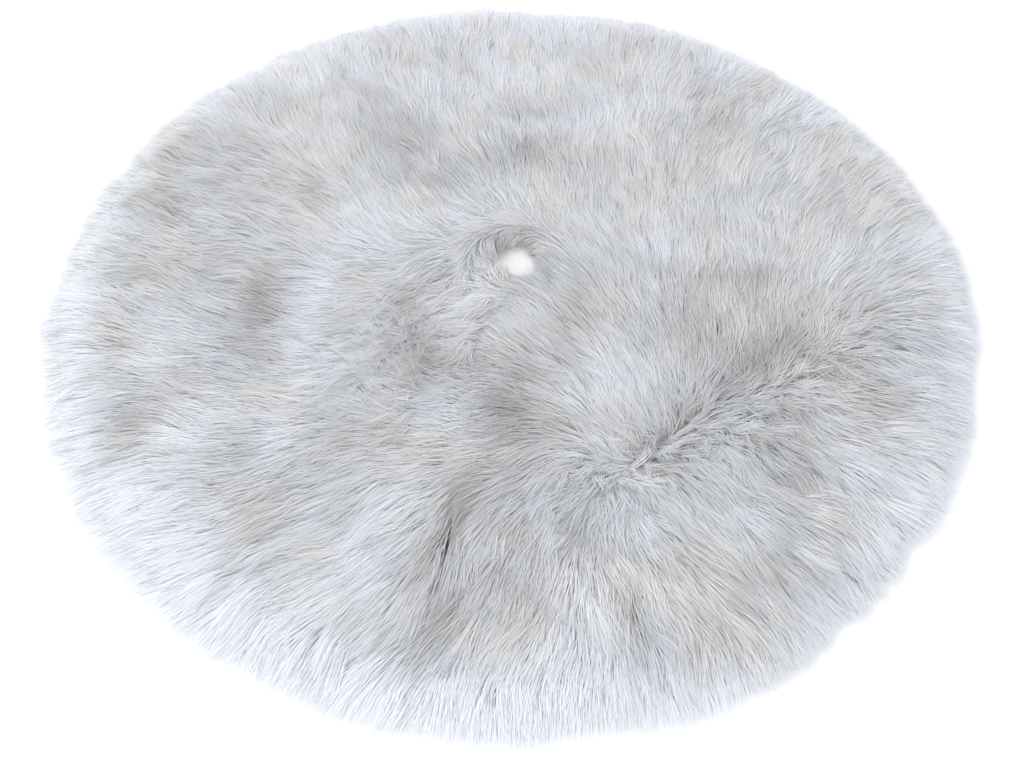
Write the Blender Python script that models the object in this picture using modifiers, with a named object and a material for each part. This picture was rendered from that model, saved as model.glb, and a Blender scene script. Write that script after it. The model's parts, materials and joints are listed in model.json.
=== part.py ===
"""Round long-pile tree skirt: a lined fur disc with a trunk hole and one slit, closed by an overlap flap.

The disc lies on the floor with +Z up and its origin at the trunk hole's centre. The parts are modelled
in the slit's own frame, where the slit runs from the hole along -Y and every distance across it is an x,
and an empty then turns them all to the slit's heading. The cloth left of the slit ends in a narrow flap
that steps up over the underlap on the right and folds back about a line beside the slit.
"""

import math

import bmesh
import bpy

# The disc
SKIRT_RADIUS = 0.610
FRINGE_REACH = 0.030
HOLE_RADIUS = 0.050
PILE_HEIGHT = 0.030
RIM_SHOULDER = 0.070
HOLE_SHOULDER = 0.035
HOLE_LIP = 0.006
FRINGE_TIP_HEIGHT = 0.005
FRINGE_FLOOR_GAP = 0.001

# Cloth layers, from the floor up
LINING_THICKNESS = 0.0006
BACKING_THICKNESS = 0.0015
TAPE_THICKNESS = 0.0006
RING_TAPE_WIDTH = 0.012
SLIT_TAPE_WIDTH = 0.008
THREAD_RADIUS = 0.00025
STITCH_INSET = 0.004
GAP = 0.0003
PILE_CLEARANCE = 0.001

# The slit, its overlap and its closures
SLIT_HEADING = math.radians(10.0)
FLAP_EDGE_X = 0.006
PILE_PARTING = 0.002
FOLD_INSET = 0.006
FOLD_GAP = 0.0004
STITCH_END_GAP = 0.002
FLAP_OPENING = math.radians(90.0)
GROOVE_MARGIN = math.radians(1.5)
RAMP_CLEARANCE = 0.002
PATCH_WIDTH = 0.018
PATCH_LENGTH = 0.040
PATCH_MARGIN = 0.001
PATCH_INSET = 0.055
LOOP_THICKNESS = 0.0012
HOOK_THICKNESS = 0.0012
LABEL_WIDTH = 0.016
LABEL_LENGTH = 0.030
LABEL_THICKNESS = 0.0004

# Mesh fineness
TURN_STEPS = 72
SHOULDER_POINTS = 6

# Sizes that follow from the ones above
FABRIC_RADIUS = SKIRT_RADIUS - FRINGE_REACH
BACKING_Z = max(TAPE_THICKNESS, LINING_THICKNESS) + GAP
BACKING_TOP = BACKING_Z + BACKING_THICKNESS
TAPE_TOP = BACKING_TOP + GAP + TAPE_THICKNESS
PILE_ROOT = BACKING_TOP + GAP
THREAD_Z = TAPE_TOP + GAP + THREAD_RADIUS
PILE_OVER_TAPE = THREAD_Z + THREAD_RADIUS + GAP
PILE_TOP = PILE_ROOT + PILE_HEIGHT
FACING_TOP = PILE_ROOT + TAPE_THICKNESS
FACING_WIDTH = PATCH_WIDTH + 2 * PATCH_MARGIN
UNDERLAP_EDGE_X = FLAP_EDGE_X - FACING_WIDTH - GAP - SLIT_TAPE_WIDTH
PATCH_X = FLAP_EDGE_X - FACING_WIDTH / 2
FOLD_X = FOLD_INSET - HOLE_RADIUS
FOLD_Z = TAPE_TOP + GAP / 2
LIFT = FACING_TOP + GAP + LOOP_THICKNESS + GAP + HOOK_THICKNESS + GAP
RAMP_START_X = FOLD_X + RAMP_CLEARANCE
RAMP_END_X = UNDERLAP_EDGE_X - RAMP_CLEARANCE
STRIP_INNER = HOLE_RADIUS + RING_TAPE_WIDTH + GAP
STRIP_OUTER = FABRIC_RADIUS - RING_TAPE_WIDTH - GAP
PATCH_INNER = HOLE_RADIUS + PATCH_INSET
PATCH_OUTER = FABRIC_RADIUS - PATCH_INSET
PATCH_MIDDLE = (PATCH_INNER + PATCH_OUTER) / 2
PATCHES = {"inner": PATCH_INNER, "middle": PATCH_MIDDLE, "outer": PATCH_OUTER}
LABEL_AT = (PATCH_MIDDLE + PATCH_OUTER) / 2
CUT_REACH = 2 * SKIRT_RADIUS
CUT_HEIGHT = 2 * (PILE_TOP + LIFT)

# name: colour, roughness
MATERIALS = {
    "white_fur": ((0.80, 0.82, 0.85), 0.95),
    "knit_backing": ((0.74, 0.74, 0.73), 0.90),
    "lining_cloth": ((0.78, 0.79, 0.80), 0.80),
    "binding_tape": ((0.76, 0.77, 0.79), 0.75),
    "loop_pile": ((0.85, 0.85, 0.84), 0.95),
    "hook_plastic": ((0.82, 0.82, 0.80), 0.50),
    "thread": ((0.86, 0.86, 0.86), 0.60),
    "label_cloth": ((0.88, 0.88, 0.87), 0.55),
}

for old in list(bpy.data.objects):
    bpy.data.objects.remove(old)
parts = bpy.data.collections.new("tree_skirt")
cutters = bpy.data.collections.new("cutters")
for collection in (parts, cutters):
    bpy.context.scene.collection.children.link(collection)


def painted(name):
    """The material of that name, made on first use."""
    if name in bpy.data.materials:
        return bpy.data.materials[name]
    colour, roughness = MATERIALS[name]
    material = bpy.data.materials.new(name)
    material.use_nodes = True
    shader = material.node_tree.nodes["Principled BSDF"]
    shader.inputs["Base Color"].default_value = (*colour, 1.0)
    shader.inputs["Roughness"].default_value = roughness
    shader.inputs["Metallic"].default_value = 0.0
    return material


def add(name, data, material):
    """A new part with this mesh or curve."""
    obj = bpy.data.objects.new(name, data)
    data.materials.append(painted(material))
    parts.objects.link(obj)
    return obj


def as_cutter(obj):
    """Move an object to the cutters, where it stays out of the model."""
    parts.objects.unlink(obj)
    cutters.objects.link(obj)
    obj.hide_render = True
    obj.display_type = "WIRE"
    return obj


def turned(name, profile, material):
    """A ring turned about Z from a closed profile of (radius, height), running down its outer side."""
    count = len(profile)
    mesh = bpy.data.meshes.new(name)
    mesh.from_pydata([(r, 0.0, z) for r, z in profile], [(i, (i + 1) % count) for i in range(count)], [])
    obj = add(name, mesh, material)
    screw = obj.modifiers.new("Turn", "SCREW")
    screw.steps = screw.render_steps = TURN_STEPS
    screw.use_merge_vertices = True
    screw.merge_threshold = 0.0001
    screw.use_smooth_shade = False
    return obj


def flat_ring(name, inner, outer, low, high, material):
    """A flat ring plate."""
    return turned(name, [(outer, high), (outer, low), (inner, low), (inner, high)], material)


def block(name, xs, ys, zs, material="white_fur"):
    """A box between pairs of coordinates."""
    bm = bmesh.new()
    bmesh.ops.create_cube(bm, size=1.0)
    size = [b - a for a, b in (xs, ys, zs)]
    centre = [(a + b) / 2 for a, b in (xs, ys, zs)]
    bmesh.ops.scale(bm, vec=size, verts=bm.verts)
    bmesh.ops.translate(bm, vec=centre, verts=bm.verts)
    mesh = bpy.data.meshes.new(name)
    bm.to_mesh(mesh)
    bm.free()
    return add(name, mesh, material)


def slot_cutter(name, low_x, high_x, low_z=-CUT_HEIGHT, high_z=CUT_HEIGHT):
    """A cutter between two lines beside the slit, from the trunk hole past the rim."""
    return as_cutter(block(name, (low_x, high_x), (-CUT_REACH, 0.0), (low_z, high_z)))


def cut(obj, cutter, operation="DIFFERENCE"):
    """Cut a part by a cutter, or keep what they share."""
    boolean = obj.modifiers.new(cutter.name, "BOOLEAN")
    boolean.operation = operation
    boolean.solver = "EXACT"
    boolean.object = cutter
    return obj


def baked(obj):
    """Give an object, or a curve, the mesh that its modifiers and rotation make."""
    bpy.context.view_layer.update()
    evaluated = obj.evaluated_get(bpy.context.evaluated_depsgraph_get())
    mesh = bpy.data.meshes.new_from_object(evaluated)
    mesh.transform(obj.matrix_world)
    name = obj.name
    bpy.data.objects.remove(obj)
    bm = bmesh.new()
    bm.from_mesh(mesh)
    bmesh.ops.remove_doubles(bm, verts=bm.verts, dist=0.00001)
    bm.to_mesh(mesh)
    bm.free()
    obj = bpy.data.objects.new(name, mesh)
    parts.objects.link(obj)
    return obj


def strip(name, profile, material):
    """A straight strip along the slit with a closed (x, z) profile, ended by the two ring tapes."""
    curve = bpy.data.curves.new(name, "CURVE")
    curve.dimensions = "2D"
    curve.fill_mode = "BOTH"
    curve.extrude = CUT_REACH / 2
    spline = curve.splines.new("POLY")
    spline.points.add(len(profile) - 1)
    for point, (x, z) in zip(spline.points, profile):
        point.co = (x, z, 0.0, 1.0)
    spline.use_cyclic_u = True
    obj = add(name, curve, material)
    obj.rotation_euler = (math.pi / 2, 0.0, 0.0)
    obj.location = (0.0, -CUT_REACH / 2, 0.0)
    return cut(baked(obj), between_tapes, "INTERSECT")


def thread(name, points):
    """A line of stitching as one thread laid through these points."""
    curve = bpy.data.curves.new(name, "CURVE")
    curve.dimensions = "3D"
    curve.bevel_depth = THREAD_RADIUS
    curve.bevel_resolution = 2
    curve.use_fill_caps = True
    spline = curve.splines.new("POLY")
    spline.points.add(len(points) - 1)
    for point, place in zip(spline.points, points):
        point.co = (*place, 1.0)
    return add(name, curve, "thread")


def lift_at(x):
    """How far the flap has stepped up over the underlap at this distance from the slit."""
    share = (x - RAMP_START_X) / (RAMP_END_X - RAMP_START_X)
    return LIFT * min(max(share, 0.0), 1.0)


def laid_over_underlap(obj):
    """Bend a flat flap piece along its two ramp lines, so that it steps up over the underlap."""
    obj = baked(obj)
    bm = bmesh.new()
    bm.from_mesh(obj.data)
    bmesh.ops.triangulate(bm, faces=bm.faces)
    for x in (RAMP_START_X, RAMP_END_X):
        everything = bm.verts[:] + bm.edges[:] + bm.faces[:]
        bmesh.ops.bisect_plane(bm, geom=everything, dist=1e-7, plane_co=(x, 0, 0), plane_no=(1, 0, 0))
    for vertex in bm.verts:
        vertex.co.z += lift_at(vertex.co.x)
    bm.to_mesh(obj.data)
    bm.free()
    return obj


def rim_tape_profile():
    """Tape folded round the disc's outer edge, open towards the hole."""
    edge, inner, t = FABRIC_RADIUS, FABRIC_RADIUS - RING_TAPE_WIDTH, TAPE_THICKNESS
    outside = [(inner, TAPE_TOP), (edge, TAPE_TOP), (edge, 0.0), (inner, 0.0)]
    inside = [(inner, t), (edge - t, t), (edge - t, TAPE_TOP - t), (inner, TAPE_TOP - t)]
    return outside + inside


def hole_tape_profile():
    """Tape folded round the trunk hole's edge, open towards the rim."""
    edge, outer, t = HOLE_RADIUS, HOLE_RADIUS + RING_TAPE_WIDTH, TAPE_THICKNESS
    inside = [(outer, TAPE_TOP), (outer, TAPE_TOP - t), (edge + t, TAPE_TOP - t), (edge + t, t), (outer, t)]
    outside = [(outer, 0.0), (edge, 0.0), (edge, TAPE_TOP)]
    return inside + outside


def slit_tape_profile(edge, way):
    """Tape folded round a straight edge at this x, open along way (1 or -1)."""
    inner, bend, t = edge + way * SLIT_TAPE_WIDTH, edge + way * TAPE_THICKNESS, TAPE_THICKNESS
    outside = [(inner, TAPE_TOP), (edge, TAPE_TOP), (edge, 0.0), (inner, 0.0)]
    inside = [(inner, t), (bend, t), (bend, TAPE_TOP - t), (inner, TAPE_TOP - t)]
    return outside + inside


def quarter(count):
    """Angles from 0 to a right angle."""
    return [math.pi / 2 * i / (count - 1) for i in range(count)]


def pile_profile():
    """The fur's outer shape: level, rounded down to the fringe, dipping into the trunk hole."""
    rim_tape_inner = FABRIC_RADIUS - RING_TAPE_WIDTH - PILE_CLEARANCE
    hole_tape_outer = HOLE_RADIUS + RING_TAPE_WIDTH + PILE_CLEARANCE
    lip = PILE_OVER_TAPE + HOLE_LIP
    flat_end = SKIRT_RADIUS - RIM_SHOULDER
    fringe_drop = PILE_TOP - FRINGE_TIP_HEIGHT
    rim = [(flat_end + RIM_SHOULDER * math.sin(a), FRINGE_TIP_HEIGHT + fringe_drop * math.cos(a))
           for a in quarter(SHOULDER_POINTS)]
    hem = [(SKIRT_RADIUS - FRINGE_TIP_HEIGHT, FRINGE_FLOOR_GAP),
           (FABRIC_RADIUS + PILE_CLEARANCE, FRINGE_FLOOR_GAP),
           (FABRIC_RADIUS + PILE_CLEARANCE, PILE_OVER_TAPE)]
    root = [(rim_tape_inner, PILE_OVER_TAPE), (rim_tape_inner, PILE_ROOT),
            (hole_tape_outer, PILE_ROOT), (hole_tape_outer, PILE_OVER_TAPE)]
    funnel = [(HOLE_RADIUS + HOLE_SHOULDER * (1 - math.cos(a)), lip + (PILE_TOP - lip) * math.sin(a))
              for a in quarter(SHOULDER_POINTS)]
    return rim + hem + root + [(HOLE_RADIUS, PILE_OVER_TAPE)] + funnel


def angle_at(radius, x):
    """The angle, on the slit's side, where a circle about the hole meets the line at this x."""
    return -math.acos(x / radius)


def main_arc(name, radius, count):
    """Stitching round the main piece, from the underlap the long way to the fold."""
    first = angle_at(radius, UNDERLAP_EDGE_X + STITCH_INSET)
    last = angle_at(radius, FOLD_X - STITCH_END_GAP) + 2 * math.pi
    angles = [first + (last - first) * i / (count - 1) for i in range(count)]
    return thread(name, [(radius * math.cos(a), radius * math.sin(a), THREAD_Z) for a in angles])


def flap_arc(name, radius):
    """Stitching round the flap's end, with a point at each ramp line that it crosses."""
    first, last = FOLD_X + STITCH_END_GAP, FLAP_EDGE_X - STITCH_INSET
    bends = [x for x in (RAMP_START_X, RAMP_END_X) if x > first + THREAD_RADIUS]
    stops = [(x, -math.sqrt(radius * radius - x * x)) for x in (first, *bends, last)]
    return thread(name, [(x, y, THREAD_Z + lift_at(x)) for x, y in stops])


def straight_stitch(name, x, height):
    """Stitching along the slit at this x, between the two ring tapes."""
    inner, outer = (math.sqrt(radius * radius - x * x) for radius in (STRIP_INNER, STRIP_OUTER))
    return thread(name, [(x, -inner - STITCH_END_GAP, height), (x, -outer + STITCH_END_GAP, height)])


# Shared cutters
between_tapes = as_cutter(
    flat_ring("between_ring_tapes", STRIP_INNER, STRIP_OUTER, -CUT_HEIGHT, CUT_HEIGHT, "white_fur"))
flap_area = slot_cutter("flap_area", FOLD_X + FOLD_GAP, FLAP_EDGE_X)
flap_backing_area = slot_cutter("flap_backing_area", FOLD_X + FOLD_GAP, FLAP_EDGE_X - TAPE_THICKNESS - GAP)
flap_lining_area = slot_cutter("flap_lining_area", FOLD_X + FOLD_GAP, FLAP_EDGE_X - SLIT_TAPE_WIDTH - GAP)
main_tape_slot = slot_cutter("main_tape_slot", FOLD_X - FOLD_GAP, UNDERLAP_EDGE_X)
main_backing_slot = slot_cutter(
    "main_backing_slot", FOLD_X - FOLD_GAP, UNDERLAP_EDGE_X + TAPE_THICKNESS + GAP)
main_lining_slot = slot_cutter("main_lining_slot", FOLD_X - FOLD_GAP, UNDERLAP_EDGE_X + SLIT_TAPE_WIDTH + GAP)
main_pile_slot = slot_cutter("main_pile_slot", FOLD_X - FOLD_GAP, FLAP_EDGE_X + PILE_PARTING)
flap_edge_relief = slot_cutter(
    "flap_edge_relief", FLAP_EDGE_X - SLIT_TAPE_WIDTH - PILE_CLEARANCE, CUT_REACH, -CUT_HEIGHT, PILE_OVER_TAPE)

# The two faces of the pile's fold groove lean apart by half the flap's opening each
groove_half = FLAP_OPENING / 2 + GROOVE_MARGIN
main_groove = as_cutter(block("main_groove", (0.0, PILE_TOP), (-CUT_REACH, 0.0), (0.0, CUT_HEIGHT)))
main_groove.location = (FOLD_X, 0.0, FOLD_Z)
main_groove.rotation_euler = (0.0, -groove_half, 0.0)
flap_groove = as_cutter(block("flap_groove", (-CUT_HEIGHT, 0.0), (-CUT_REACH, 0.0), (0.0, CUT_HEIGHT)))
flap_groove.location = (FOLD_X, 0.0, FOLD_Z)
flap_groove.rotation_euler = (0.0, groove_half, 0.0)


def cloth_layers():
    """The lining and the fur's knit backing: flat rings, each in a main piece and a flap piece."""
    lining = ("lining_cloth", STRIP_INNER, STRIP_OUTER, 0.0, LINING_THICKNESS)
    inset = TAPE_THICKNESS + GAP
    backing = ("knit_backing", HOLE_RADIUS + inset, FABRIC_RADIUS - inset, BACKING_Z, BACKING_TOP)
    layers = {"lining": (lining, main_lining_slot, flap_lining_area),
              "fur_backing": (backing, main_backing_slot, flap_backing_area)}
    flap_pieces = []
    for name, ((material, *sizes), slot, area) in layers.items():
        cut(flat_ring(f"{name}_main", *sizes, material), slot)
        flap = cut(flat_ring(f"{name}_flap", *sizes, material), area, "INTERSECT")
        flap_pieces.append(laid_over_underlap(flap))
    return flap_pieces


def fur_pile():
    """The fur itself, parted at the slit and open in a groove over the fold."""
    main = cut(turned("fur_pile_main", pile_profile(), "white_fur"), main_pile_slot)
    cut(main, main_groove)
    flap = cut(turned("fur_pile_flap", pile_profile(), "white_fur"), flap_area, "INTERSECT")
    cut(flap, flap_edge_relief)
    return [cut(laid_over_underlap(flap), flap_groove)]


def bindings():
    """Tape folded round each raw edge, and the flat facing that covers the underlap."""
    flap_pieces = []
    for name, profile in (("rim_binding", rim_tape_profile()), ("hole_binding", hole_tape_profile())):
        cut(turned(f"{name}_main", profile, "binding_tape"), main_tape_slot)
        flap = cut(turned(f"{name}_flap", profile, "binding_tape"), flap_area, "INTERSECT")
        flap_pieces.append(laid_over_underlap(flap))
    strip("underlap_binding", slit_tape_profile(UNDERLAP_EDGE_X, 1), "binding_tape")
    edge = strip("flap_edge_binding", slit_tape_profile(FLAP_EDGE_X, -1), "binding_tape")
    facing = block("underlap_facing", (FLAP_EDGE_X - FACING_WIDTH, FLAP_EDGE_X), (-CUT_REACH, 0.0),
                   (PILE_ROOT, FACING_TOP), "binding_tape")
    cut(facing, between_tapes, "INTERSECT")
    return flap_pieces + [laid_over_underlap(edge)]


def across(centre, length):
    """A pair of coordinates about a centre."""
    return (centre - length / 2, centre + length / 2)


def closures():
    """Hook patches under the flap that press onto loop patches on the underlap."""
    flap_pieces = []
    loop_z = FACING_TOP + GAP
    for place, distance in PATCHES.items():
        outline = (across(PATCH_X, PATCH_WIDTH), across(-distance, PATCH_LENGTH))
        block(f"loop_patch_{place}", *outline, (loop_z, loop_z + LOOP_THICKNESS), "loop_pile")
        hooks = block(f"hook_patch_{place}", *outline, (-GAP - HOOK_THICKNESS, -GAP), "hook_plastic")
        flap_pieces.append(laid_over_underlap(hooks))
    label = block("care_label", across(PATCH_X, LABEL_WIDTH), across(-LABEL_AT, LABEL_LENGTH),
                  (-GAP - LABEL_THICKNESS, -GAP), "label_cloth")
    return flap_pieces + [laid_over_underlap(label)]


def stitching():
    """Thread along the middle of each tape, a little in from its edge."""
    rim, hole = FABRIC_RADIUS - STITCH_INSET, HOLE_RADIUS + STITCH_INSET
    main_arc("rim_topstitch_main", rim, TURN_STEPS)
    main_arc("hole_topstitch_main", hole, TURN_STEPS // 2)
    straight_stitch("underlap_topstitch", UNDERLAP_EDGE_X + STITCH_INSET, THREAD_Z)
    return [flap_arc("rim_topstitch_flap", rim),
            flap_arc("hole_topstitch_flap", hole),
            straight_stitch("flap_edge_topstitch", FLAP_EDGE_X - STITCH_INSET, THREAD_Z + LIFT)]


flap_parts = cloth_layers() + fur_pile() + bindings() + closures() + stitching()

# The slit's frame, and the fold line that the flap turns about
slit_frame = bpy.data.objects.new("slit_frame", None)
parts.objects.link(slit_frame)
slit_frame.rotation_euler = (0.0, 0.0, -SLIT_HEADING)
flap_hinge = bpy.data.objects.new("flap_hinge", None)
parts.objects.link(flap_hinge)
flap_hinge.parent = slit_frame
flap_hinge.location = (FOLD_X, -(HOLE_RADIUS + FABRIC_RADIUS) / 2, FOLD_Z)
for obj in list(parts.objects) + list(cutters.objects):
    if obj in (slit_frame, flap_hinge):
        continue
    if obj in flap_parts:
        obj.parent = flap_hinge
        obj.location -= flap_hinge.location
    else:
        obj.parent = slit_frame
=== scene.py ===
# %% [markdown]
# # A long-pile tree skirt, strand by strand
# A tree skirt is a round cloth with a hole for the trunk and one slit from the hole to the rim, so that
# it can be laid round a standing tree. This one is long white fur on a knit backing, lined, bound with
# folded tape and closed along the slit by hook and loop patches under a narrow flap.
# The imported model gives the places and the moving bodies. This script gives every piece its real make:
# fur from separate strands, tape folded round its edge, single stitches, hooks and loops.

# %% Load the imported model
import json
import math

import bmesh
import bpy
import numpy as np
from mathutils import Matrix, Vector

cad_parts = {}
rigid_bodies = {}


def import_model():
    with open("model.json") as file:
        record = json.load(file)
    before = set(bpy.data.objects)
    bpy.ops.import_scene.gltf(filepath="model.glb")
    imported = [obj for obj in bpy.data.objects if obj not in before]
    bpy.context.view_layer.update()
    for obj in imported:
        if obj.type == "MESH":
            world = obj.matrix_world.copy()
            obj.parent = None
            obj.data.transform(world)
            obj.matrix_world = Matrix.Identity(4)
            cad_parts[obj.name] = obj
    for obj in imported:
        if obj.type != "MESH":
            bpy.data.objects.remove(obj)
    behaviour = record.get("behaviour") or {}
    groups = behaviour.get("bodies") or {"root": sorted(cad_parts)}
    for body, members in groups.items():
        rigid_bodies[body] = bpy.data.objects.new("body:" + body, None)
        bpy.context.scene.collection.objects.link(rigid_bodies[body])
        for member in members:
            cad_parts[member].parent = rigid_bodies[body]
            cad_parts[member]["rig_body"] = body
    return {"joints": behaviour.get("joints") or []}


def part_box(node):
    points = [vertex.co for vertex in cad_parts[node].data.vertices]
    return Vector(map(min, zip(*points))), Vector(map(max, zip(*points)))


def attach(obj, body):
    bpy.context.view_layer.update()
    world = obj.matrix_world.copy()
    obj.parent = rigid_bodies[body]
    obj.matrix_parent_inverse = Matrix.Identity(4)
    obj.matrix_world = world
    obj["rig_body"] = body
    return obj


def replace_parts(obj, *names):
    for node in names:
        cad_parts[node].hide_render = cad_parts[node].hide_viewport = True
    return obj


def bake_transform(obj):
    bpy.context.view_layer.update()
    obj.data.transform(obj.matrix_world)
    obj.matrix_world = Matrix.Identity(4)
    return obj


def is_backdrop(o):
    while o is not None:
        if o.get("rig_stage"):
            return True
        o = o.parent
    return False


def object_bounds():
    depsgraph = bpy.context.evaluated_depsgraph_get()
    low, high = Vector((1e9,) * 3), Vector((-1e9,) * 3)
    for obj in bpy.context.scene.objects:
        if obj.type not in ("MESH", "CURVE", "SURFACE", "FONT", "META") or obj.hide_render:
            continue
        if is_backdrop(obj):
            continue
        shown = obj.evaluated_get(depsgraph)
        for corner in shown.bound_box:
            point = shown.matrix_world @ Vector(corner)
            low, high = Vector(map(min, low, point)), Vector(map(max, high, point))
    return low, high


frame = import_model()
cad_low, cad_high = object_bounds()

# %% [markdown]
# ## Sizes that everything shares
# The slit has its own directions: out along it from the trunk hole, and square across it. The packed
# hinge gives both, because the flap folds about a line beside the slit. Every layer's height is read
# from its own node, so a piece made here lies exactly where the plain one lay.

# %% Places and heights
fold = frame["joints"][0]
fold_point = np.array(fold["pos_m"])
out = np.array(fold["axis"])
across = np.array([-out[1], out[0], 0.0])
FOLD_X = float(fold_point @ across)
FLAP_EDGE_X = 0.006
HOLE_RADIUS = 0.050
FABRIC_RADIUS = float(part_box("rim_binding_main")[1].x)
SKIRT_RADIUS = float(cad_high.x)
MAIN, FLAP = "skirt_body", "overlap_flap"


def heights(node):
    """The lowest and highest z of a node, in metres."""
    low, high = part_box(node)
    return float(low.z), float(high.z)


def middle_out(node):
    """How far out along the slit the middle of a node's box is."""
    low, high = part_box(node)
    return float((np.array(low) + np.array(high)) @ out / 2)


PILE_ROOT = heights("underlap_facing")[0]
TAPE_TOP = heights("rim_binding_main")[1]
LIFT = heights("flap_edge_binding")[1] - TAPE_TOP
UNDERLAP_EDGE_X = -0.0223
RAMP = (FOLD_X + 0.002, UNDERLAP_EDGE_X - 0.002)
print(f"fold line at {FOLD_X:.4f} m, fabric radius {FABRIC_RADIUS:.3f} m, flap lift {LIFT:.4f} m")


def slit_xy(x, y):
    """Slit coordinates of row-frame points: the distance across the slit, and the distance out along it."""
    return x * across[0] + y * across[1], x * out[0] + y * out[1]


def row_points(x, outward, z):
    """Row-frame points: x times the across direction, plus the outward distance times the out one."""
    x, outward, z = np.broadcast_arrays(x, outward, z)
    return np.stack([x * across[0] + outward * out[0], x * across[1] + outward * out[1], z], axis=-1)


def smooth(low, high, value):
    """0 below low, 1 above high, and the curve t * t * (3 - 2 t) between them."""
    t = np.clip((value - low) / (high - low), 0.0, 1.0)
    return t * t * (3.0 - 2.0 * t)


def lift_at(x):
    """The flap's step up over the underlap: none before the first ramp line, all of it after the second."""
    return LIFT * np.clip((x - RAMP[0]) / (RAMP[1] - RAMP[0]), 0.0, 1.0)


# %% [markdown]
# ## Camera
# The skirt is seen from a standing person's height, close by: the lens is wide and looks steeply down,
# so the near side of the disc spreads and the far side shrinks.

# %% Camera
CAMERA_PLACE = (0.0, -0.750, 0.805)
CAMERA_DOWN = 55.56
CAMERA_TURN = 0.4
CAMERA_LENS = 28.1

camera = bpy.data.objects.new("camera", bpy.data.cameras.new("camera"))
bpy.context.scene.collection.objects.link(camera)
camera.location = CAMERA_PLACE
camera.rotation_euler = (math.radians(90.0 - CAMERA_DOWN), 0.0, math.radians(CAMERA_TURN))
camera.data.lens = CAMERA_LENS
camera.data.sensor_width = 36.0
bpy.context.scene.camera = camera
print("camera lens", CAMERA_LENS, "mm at", CAMERA_PLACE)

# %% [markdown]
# ## Writing materials as sums
# A node material is a small calculation. The two classes below let it be written as one: a Reading is
# one socket, and Python's operators add the Math nodes, while a Finish is a material with one method
# that adds any other node. Colours go through mix(), because a Math node would turn them grey.

# %% Reading and Finish


class Reading:
    """A number or colour in a material. An operator adds the Math node that works it out."""

    def __init__(self, finish, socket):
        self.finish, self.socket = finish, socket

    def math(self, operation, first, second=0.0):
        """The Math node of this operation on two values."""
        return self.finish.node("ShaderNodeMath", {"operation": operation}, {0: first, 1: second})

    def __add__(self, other):
        return self.math("ADD", self, other)

    def __sub__(self, other):
        return self.math("SUBTRACT", self, other)

    def __rsub__(self, other):
        return self.math("SUBTRACT", other, self)

    def __mul__(self, other):
        return self.math("MULTIPLY", self, other)

    __radd__, __rmul__ = __add__, __mul__

    def sine(self):
        """The sine of this value, in radians."""
        return self.math("SINE", self)

    def size(self):
        """This value without its sign."""
        return self.math("ABSOLUTE", self)

    def whole(self):
        """This value rounded down to a whole number."""
        return self.math("FLOOR", self)

    def between(self, low, high):
        """0 at low and 1 at high, in a straight line, and never outside 0 to 1."""
        return self.finish.node("ShaderNodeMapRange", {"clamp": True}, {0: self, 1: low, 2: high})


class Finish:
    """A material for one of the record's slots."""

    def __init__(self, name, **fixed):
        self.material = bpy.data.materials.new(name)
        self.material.use_nodes = True
        self.tree = self.material.node_tree
        self.shader = self.tree.nodes["Principled BSDF"]
        for socket, value in fixed.items():
            self.shader.inputs[socket.replace("_", " ")].default_value = value

    def put(self, socket, value):
        """A number, a colour or a Reading into a socket."""
        if isinstance(value, Reading):
            self.tree.links.new(value.socket, socket)
        else:
            socket.default_value = (*value, 1.0) if isinstance(value, tuple) else value

    def node(self, kind, settings=None, inputs=None, output=0):
        """A node of this type. Its settings go in first, then its sockets, and back comes one output."""
        made = self.tree.nodes.new(kind)
        for name, value in (settings or {}).items():
            if name == "stops":
                ramp = made.color_ramp.elements
                while len(ramp) < len(value):
                    ramp.new(1.0)
                for stop, (place, colour) in zip(ramp, value):
                    stop.position, stop.color = place, (*colour, 1.0)
            else:
                setattr(made, name, value)
        for name, value in (inputs or {}).items():
            self.put(made.inputs[name], value)
        return Reading(self, made.outputs[output])

    def mix(self, share, first, second, blend="MIX"):
        """Colour first at share 0 and colour second at share 1."""
        settings = {"data_type": "RGBA", "blend_type": blend}
        return self.node("ShaderNodeMix", settings, {0: share, 6: first, 7: second}, output=2)

    def parts(self, vector):
        """The three parts of a vector."""
        split = self.node("ShaderNodeSeparateXYZ", inputs={0: vector})
        return [Reading(self, socket) for socket in split.socket.node.outputs]

    def noise(self, place, scale, detail=2.0):
        """Cloudy noise from 0 to 1, with this many cells a metre."""
        return self.node("ShaderNodeTexNoise", inputs={"Vector": place, "Scale": scale, "Detail": detail})

    def wear(self, **looks):
        """Values or Readings into the shader's own sockets."""
        for socket, value in looks.items():
            self.put(self.shader.inputs[socket.replace("_", " ")], value)
        return self.material


# %% [markdown]
# ## From arrays to a mesh
# Every new piece starts as numpy arrays: points, faces grouped by their number of corners, and a place
# on the piece's own map for each point. foreach_set hands each array to Blender in one go, so a large
# mesh takes seconds instead of minutes.

# %% Arrays to a mesh


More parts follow.
